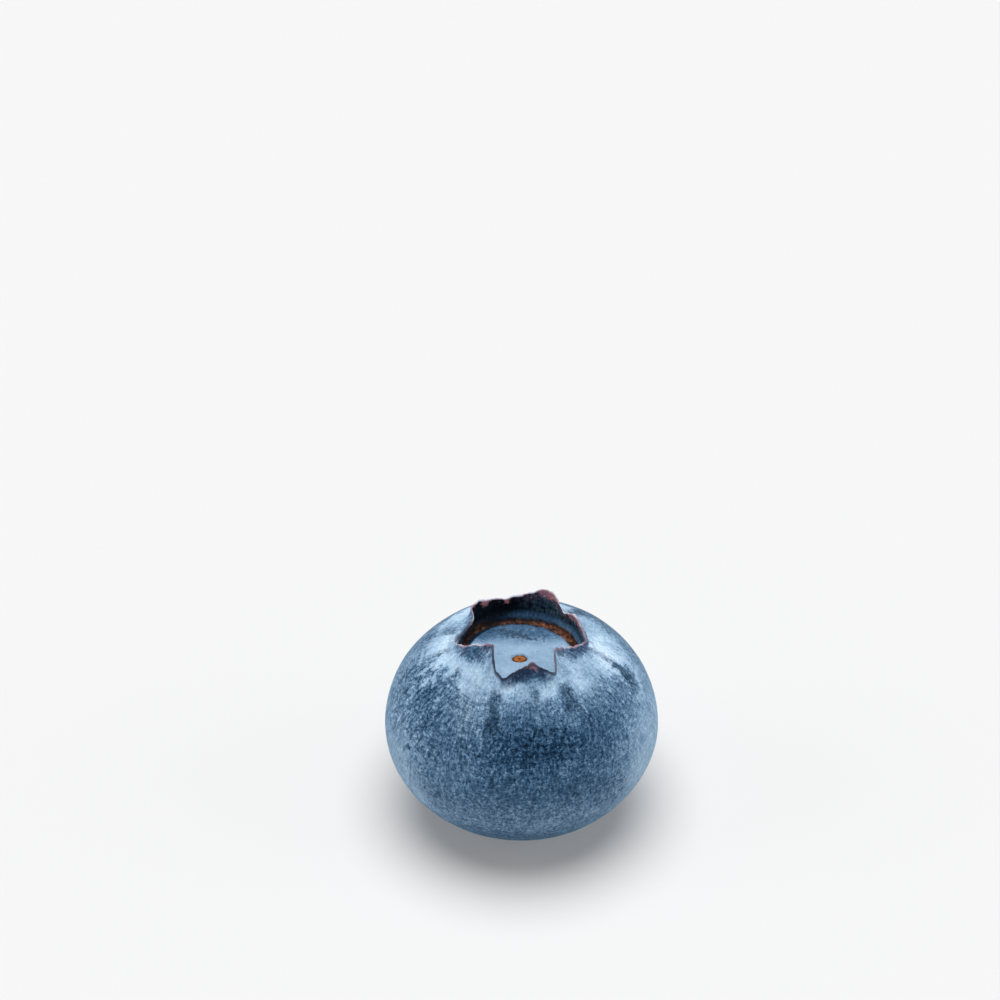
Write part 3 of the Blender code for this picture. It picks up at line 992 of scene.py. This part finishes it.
# %% Platelets, strokes and chips
PLATELETS, DOWN, LEVEL = 0.8, 0.5, 0.4
GRAIN_ON_WAX, GRAIN_OFF_WAX, GRAIN_IN_CUP = 0.6, 1.3, 0.4
FLAKE_STEP, CHIP_DEPTH = 0.26, 0.34
level_place = tinted(place_mm, (0.45, 0.45, 1.3))
platelets = cells(0.08, 3, 0.8)
down_strokes = cells(0.085, 2, 0.7, where=place_unrolled, warp=0.6)
level_strokes = cells(0.09, 2, 0.7, where=level_place, warp=0.6)
all_strokes = platelets * PLATELETS + down_strokes * DOWN + level_strokes * LEVEL
chips = cells(0.16, 3, 0.75).step(0.1, 0.16) * flaked_note.clamped()
grain_depth = GRAIN_OFF_WAX - flakes * (GRAIN_OFF_WAX - GRAIN_ON_WAX)
in_the_cup = on_skin * (1 - GRAIN_IN_CUP) + GRAIN_IN_CUP
grained = wax_light_and_shade + all_strokes * grain_depth * in_the_cup * noted("grainy")
grained = grained + ((flakes - 0.5) * FLAKE_STEP * flaked_note - chips * CHIP_DEPTH) * on_skin
print(len(tree.nodes), "nodes with the grain")

# %% [markdown]
# Scratches through the wax
#
# Rubbing drew thin lines through the wax. A line is where a slow noise crosses zero, which wanders as a
# scratch does. A second noise keeps most of the fruit free of them. The streaks and the wetted places get
# a tint, because wax that dried after rain is greyer.

# %% Scratches, and the colour of the skin
GREY_TINT = (1.1, 0.99, 0.93, 1)
SCRATCH_WIDTH, SCRATCH_DEPTH = 0.005, 0.16
crossing = cells(2.4, 1, 0.5, where=place_unrolled, warp=0.3)
scratches = crossing.size().step(SCRATCH_WIDTH, 0.0) * cells(1.6, 1).step(0.04, 0.12) * on_skin
amount = grained - scratches * SCRATCH_DEPTH
skin_colour = start.node("ValToRGB", {"stops": BLOOM_COLOURS}, {"Fac": amount})
skin_colour = tinted(skin_colour, mixed(noted("greyed"), (1, 1, 1, 1), GREY_TINT))
print(len(tree.nodes), "nodes with the scratches")

# %% [markdown]
# Dry inner faces
#
# Inside, the lobes are dead tissue: almost black on the left, slate-grey with pale specks on the right, and
# pink-red at the tips, with darker and paler specks in the red. The noted paleness is multiplied by noise,
# so dark places stay even and pale ones are the more speckled.

# %% Inner faces
dead_black, slate, mauve = paint(3, 9, 20), paint(58, 84, 102), paint(106, 98, 118)
pale_fleck, tip_pink, tip_mauve = paint(150, 156, 166), paint(214, 142, 138), paint(162, 116, 136)
tip_shade, tip_dust = paint(96, 52, 66), paint(236, 206, 204)
from_edge_note = noted("from_edge")
inside_note = noted("inside")
inner_pale_note = noted("inner_pale")
flecks = cells(0.11, 3, 0.7)
stains = cells(0.45, 2, 0.5)
specks = flecks + cells(0.12, 3, 0.7, where=place_unrolled)
pale_tissue = mixed(from_edge_note.step(0.9, 0.2), slate, mauve)
lobe_dark = mixed((inner_pale_note * (1 + specks * 6.0)).clamped(), dead_black, pale_tissue)
lobe_dark = mixed((inner_pale_note + specks * 4.0).step(1.35, 1.8) * 0.8, lobe_dark, pale_fleck)
near_tip = from_edge_note.step(0.8, 0.0) * noted("tips")
reddened = (near_tip * 0.55 + from_edge_note.step(0.5, 0.0) * 0.16 + flecks * 1.2).step(0.2, 0.5)
red_tissue = mixed(stains.step(-0.1, 0.1), tip_pink, tip_mauve)
red_tissue = mixed(specks.step(-0.08, -0.3) * 0.6, red_tissue, tip_shade)
red_tissue = mixed(specks.step(0.1, 0.32) * 0.7, red_tissue, tip_dust)
lobe_colour = mixed(reddened, lobe_dark, red_tissue)
print(len(tree.nodes), "nodes with the inner faces")

# %% [markdown]
# Worn outer faces
#
# Near the free edge the wax is rubbed off in spots, down to dark skin with a dust of wax left on it. The
# spots come from three sizes of noise over the noted wear, because one size alone gives dots all alike.

# %% Outer faces
bare_skin, dusty_skin, red_skin = paint(32, 48, 78), paint(118, 134, 162), paint(112, 82, 100)
dust = specks.step(0.0, 0.3)
spots = cells(0.22, 3, 0.6)
worn_from = from_edge_note.step(0.9, 0.1) * 0.4 + stains * 0.8 + spots * 2.2 + flecks * 0.8
worn_out = (worn_from.step(0.15, 0.5) * from_edge_note.step(1.0, 0.7) * noted("worn")).clamped()
dark_skin = mixed(reddened * 0.5, mixed(dust, bare_skin, dusty_skin), red_skin)
skin_colour = mixed(worn_out * 0.75, skin_colour, dark_skin)
print(len(tree.nodes), "nodes with the outer faces")

# %% [markdown]
# The front lobe
#
# The front lobe has lost all its wax down to a crease, and only its tip is red. Along the crease lies a band
# of painted shadow, where the lobe overhangs the shoulder. A higher number in the table of wear would only
# give it more spots, so this lobe has a mask of its own.

# %% The front lobe's face
dry_navy, dry_dust, dry_red = paint(28, 46, 72), paint(100, 116, 142), paint(134, 96, 104)
crease_shadow_navy = paint(22, 42, 66)
front_note = noted("front_face")
frayed_edge = from_edge_note + flecks * 0.3 + stains * 0.2
red_dry = (near_tip * 0.5 + flecks * 1.6).step(0.25, 0.55)
dry_colour = mixed(red_dry, mixed(dust, dry_navy, dry_dust), dry_red)
skin_colour = mixed((frayed_edge.step(0.56, 0.4) * front_note * 1.2).clamped(), skin_colour, dry_colour)
# Painted shadow: a dark band below the dry face, under the lobe's overhang.
crease_shadow = frayed_edge.step(0.36, 0.5) * frayed_edge.step(0.8, 0.6)
skin_colour = mixed((crease_shadow * front_note * 0.6).clamped(), skin_colour, crease_shadow_navy)
print(len(tree.nodes), "nodes with the front lobe")

# %% [markdown]
# The free edge
#
# The very edge is a thin line of dried margin. Where it stands in the light it is pinkish white with a
# painted highlight on it, and it is navy in the notches, with a dark line just under it. Its own strip of
# faces would be crisp, but too even: here the line is a distance with noise added, so its width wanders.

# %% Free edge
edge_white, edge_pink, edge_navy = paint(206, 208, 224), paint(180, 148, 162), paint(28, 36, 54)
under_edge = paint(30, 44, 66)
coloured = mixed(inside_note, skin_colour, lobe_colour)
edge_highlight_note = noted("pale_edge")
edge_line = (from_edge_note + flecks * 0.08).step(0.06, 0.012)
# Painted highlight on the margin's own pinkish white, where the edge stands in the light.
pale_margin_and_highlight = mixed(stains.step(-0.1, 0.1), edge_white, edge_pink)
dark_line = from_edge_note.step(0.17, 0.08) * edge_highlight_note.step(0.6, 0.35) * (1 - inside_note)
coloured = mixed(dark_line * 0.7, coloured, under_edge)
coloured = mixed(edge_line * 0.85, coloured, mixed(edge_highlight_note, edge_navy, pale_margin_and_highlight))
print(len(tree.nodes), "nodes with the free edge")

# %% [markdown]
# Cork
#
# Where the petals, the style and the stem broke off, the wound healed with cork: brown, rough and crumbly,
# with dark gaps and orange crumbs. In the ring, painted light makes the cork more orange on the lit right,
# and painted shade sinks it into dark gaps on the left, with a band of painted shadow along both borders.
# A Voronoi texture gives crumbs that are too round, so the crumbs and the gaps are two sizes of the same
# rough noise.

# %% Cork in the ring groove
cork_brown, cork_tan, cork_orange = paint(62, 40, 34), paint(126, 84, 60), paint(166, 96, 58)
cork_gap, cork_border_and_shadow, ring_painted_shadow = paint(32, 26, 28), paint(28, 22, 26), paint(22, 36, 58)
crumbs = cells(0.12, 3, 0.65)
gaps = cells(0.3, 3, 0.6)
ring_painted_light_note = noted("ring_light")
cork_colour = mixed(crumbs.step(-0.1, 0.2), cork_brown, cork_tan)
# Painted light and shade: where the noted light is high the cork turns orange, and where it is low the cork
# sinks into dark gaps.
cork_colour = mixed((ring_painted_light_note + gaps * 1.8).step(0.75, 1.05), cork_colour, cork_orange)
cork_colour = mixed((ring_painted_light_note + crumbs * 1.2 + gaps * 1.2).step(0.1, 0.8), cork_gap, cork_colour)
ring_note = noted("outside_ring") + gaps * 0.26 + crumbs * 0.1
# Painted shadow: a dark band just outside both edges of the ring.
coloured = mixed(ring_note.step(0.16, 0.0) * 0.45, coloured, ring_painted_shadow)
ring_mask = ring_note.step(0.02, -0.03)
# The dark border along both edges inside the ring is partly painted shadow.
coloured = mixed(ring_mask, coloured, mixed(ring_note.step(-0.1, 0.0) * 0.7, cork_colour, cork_border_and_shadow))
print(len(tree.nodes), "nodes with the ring of cork")

# %% [markdown]
# Scuffs on the disc
#
# Behind the style scar the disc is rubbed through to dark skin along a narrow band, in crumbs and not in a
# line. The note says where, and the spots and flecks that broke up the lobes break it up too.

# %% Scuffs
scuff_dark = paint(44, 62, 80)
scuff_note = noted("scuffed")
scuffs = (scuff_note * 0.8 + spots * 2.2 + flecks * 2.6).step(0.45, 0.75) * scuff_note.step(0.05, 0.3)
coloured = mixed(scuffs * 0.8, coloured, scuff_dark)
print(len(tree.nodes), "nodes with the scuffs")

# %% [markdown]
# Scars of the style and the stem
#
# The style's scar is orange with a dark moat and a dark dot. The stem's scar is a tan ring with a dark rim
# and a dark middle, where the vessels tore. Both follow the rows of the section, so one distance from the
# middle is all that each mask needs.

# %% Scars
boss_brown, boss_orange, moat_brown = paint(122, 70, 34), paint(166, 102, 54), paint(44, 26, 22)
stem_brown, stem_tan, stem_shade = paint(92, 66, 46), paint(160, 128, 92), paint(52, 36, 30)
style_note = noted("from_style")
style_mask = (style_note + crumbs * 0.06).step(0.43, 0.39)
style_moat = (style_note.step(0.28, 0.34) + style_note.step(0.08, 0.04)).clamped()
style_orange = mixed(crumbs.step(-0.15, 0.15), boss_brown, boss_orange)
coloured = mixed(style_mask, coloured, mixed(style_moat * 0.85, style_orange, moat_brown))
stem_note = noted("from_stem")
stem_mask = (stem_note + crumbs * 0.16).step(1.08, 1.0)
stem_dark = (stem_note.step(0.86, 1.0) + stem_note.step(0.42, 0.24)).clamped()
stem_colour = mixed(crumbs.step(-0.2, 0.2), stem_brown, stem_tan)
coloured = mixed(stem_mask, coloured, mixed(stem_dark * 0.65, stem_colour, stem_shade))
print(len(tree.nodes), "nodes with the scars")

# %% [markdown]
# Gloss and fine relief
#
# Wax scatters light: it is matt where it is thick and a little shinier where it is thin, and cork is dull. A
# faint bluish sheen stands for the light that the wax felt throws back at a flat angle. Relief finer than
# the mesh can hold comes from a Bump node, whose height is in millimetres here.

# %% Finish the shader
SPECULAR, SHEEN, SHEEN_ROUGHNESS = 0.08, 0.22, 0.3
SHEEN_TINT = (0.3, 0.72, 1.0, 1.0)
BUMP_STRENGTH = 0.7
cork_all = (ring_mask + style_mask + stem_mask).clamped()
roughness = 0.62 - 0.18 * (1 - amount).clamped() + 0.2 * cork_all
skin_bumps = platelets * 0.012 + blotches * 0.01
height_mm = skin_bumps + cork_all * crumbs * 0.05 + inside_note * flecks * 0.02
bumped = start.node("Bump", {}, {"Strength": BUMP_STRENGTH, "Distance": MM, "Height": height_mm})
fill_sockets(shader, {"Base Color": coloured, "Roughness": roughness.clamped(), "Normal": bumped})
fill_sockets(shader, {"Specular IOR Level": SPECULAR, "Sheen Weight": SHEEN})
fill_sockets(shader, {"Sheen Roughness": SHEEN_ROUGHNESS, "Sheen Tint": SHEEN_TINT})
print(len(tree.nodes), "nodes in all")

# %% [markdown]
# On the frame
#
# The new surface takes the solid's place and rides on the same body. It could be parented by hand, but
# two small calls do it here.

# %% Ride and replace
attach(berry, "root")
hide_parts("fruit")
print(berry.name, "rides on root")

# %% [markdown]
# The floor
#
# The berry lies on a plain pale sheet that runs on to the horizon. It glows a little by itself, as paper on
# a light table does, so that the berry's shadow stays soft and pale. A brighter lamp would only bleach the
# berry with it.

# %% Floor
FLOOR_HALF = 3.0
PAPER_GREY, PAPER_ROUGHNESS, PAPER_GLOSS, PAPER_GLOW = 0.59, 0.9, 0.1, 0.14
floor_mesh = bpy.data.meshes.new("floor")
corners = [(sx * FLOOR_HALF, sy * FLOOR_HALF, 0) for sx, sy in ((-1, -1), (1, -1), (1, 1), (-1, 1))]
floor_mesh.from_pydata(corners, [], [(0, 1, 2, 3)])
floor = add_object("floor", floor_mesh)
paper = bpy.data.materials.new("pale_floor")
paper.use_nodes = True
paper_shader = paper.node_tree.nodes["Principled BSDF"]
fill_sockets(paper_shader, {"Base Color": (PAPER_GREY, PAPER_GREY, PAPER_GREY, 1)})
fill_sockets(paper_shader, {"Roughness": PAPER_ROUGHNESS, "Specular IOR Level": PAPER_GLOSS})
fill_sockets(paper_shader, {"Emission Color": (1, 1, 1, 1), "Emission Strength": PAPER_GLOW})
floor_mesh.materials.append(paper)
print("the floor is", 2 * FLOOR_HALF, "m across")

# %% [markdown]
# Light
#
# Soft light comes from above and from both sides. Large area lamps would do, but they light only the floor
# near them. A sun lamp that is 50 degrees wide lights a small thing just as softly, and the floor evenly.
# The sky is bright only near the horizon, where it gives the berry's sides a pale edge, and dim above, so
# that the top stays rich in colour.

# %% Sky
SKY_ABOVE, SKY_LOW = 0.16, 0.95
LOW_UP_TO, ABOVE_FROM = 0.1, 0.3
sky = bpy.data.worlds.new("sky")
sky.use_nodes = True
background = sky.node_tree.nodes["Background"]
ray = Wire(background.outputs[0]).node("TexCoord", {}, {}, output="Generated")
ray_up = ray.node("SeparateXYZ", {}, {"Vector": ray}, output="Z")
strength = SKY_ABOVE + ray_up.step(ABOVE_FROM, LOW_UP_TO) * (SKY_LOW - SKY_ABOVE)
fill_sockets(background, {"Color": (1, 1, 1, 1), "Strength": strength})
bpy.context.scene.world = sky
print(len(sky.node_tree.nodes), "nodes in the sky")

# %% Wide suns
# Where from, how many degrees wide, how strong.
SUNS = {
    "top": ((0.0, 0.04, 0.6), 50, 3.31),
    "left": ((-0.6, -0.05, 0.25), 38, 0.414),
    "right": ((0.6, -0.05, 0.25), 38, 0.414),
}
for name, (spot, wide, strong) in SUNS.items():
    lamp = bpy.data.lights.new(name, "SUN")
    lamp.angle = math.radians(wide)
    lamp.energy = strong
    add_object(name, lamp).rotation_euler = Vector(spot).to_track_quat("Z", "Y").to_euler()
print(len(SUNS), "suns")

# %% [markdown]
# Camera
#
# The camera looks down on the berry at 42 degrees through a long lens. The berry isn't in the middle of
# the picture. A lens shift would put it there, but every other view keeps the shift, so the camera is
# turned a little instead.

# %% Where the camera looks
LOOK_DOWN = math.radians(42)
LENS, SENSOR = 100.0, 36.0
DISTANCE = 0.16377
PICTURE = 1000
BERRY_AT = (521.3, 717.4)
CLIP_START = 0.001
centre = Vector((0, 0, FOOT_DROP * MM))
forward = Vector((0, math.cos(LOOK_DOWN), -math.sin(LOOK_DOWN)))
upward = Vector((0, math.sin(LOOK_DOWN), math.cos(LOOK_DOWN)))
level = Matrix((Vector((1, 0, 0)), upward, -forward)).transposed()
in_pixels = LENS / SENSOR * PICTURE
aside = Vector(((BERRY_AT[0] - PICTURE / 2) / in_pixels, -(BERRY_AT[1] - PICTURE / 2) / in_pixels, -1))
turn_aside = Vector((0, 0, -1)).rotation_difference(aside.normalized()).to_matrix()
print(f"turned aside by {math.degrees(turn_aside.to_quaternion().angle):.1f} degrees")

# %% Camera
lens = bpy.data.cameras.new("camera")
lens.lens, lens.sensor_width = LENS, SENSOR
lens.clip_start = CLIP_START
camera = add_object("camera", lens)
looking = (level @ turn_aside.inverted()).to_4x4()
camera.matrix_world = Matrix.Translation(centre - forward * DISTANCE) @ looking
bpy.context.scene.camera = camera
bpy.context.scene.view_settings.view_transform = "Standard"
print("camera at", [round(1000 * x, 1) for x in camera.matrix_world.translation], "mm")
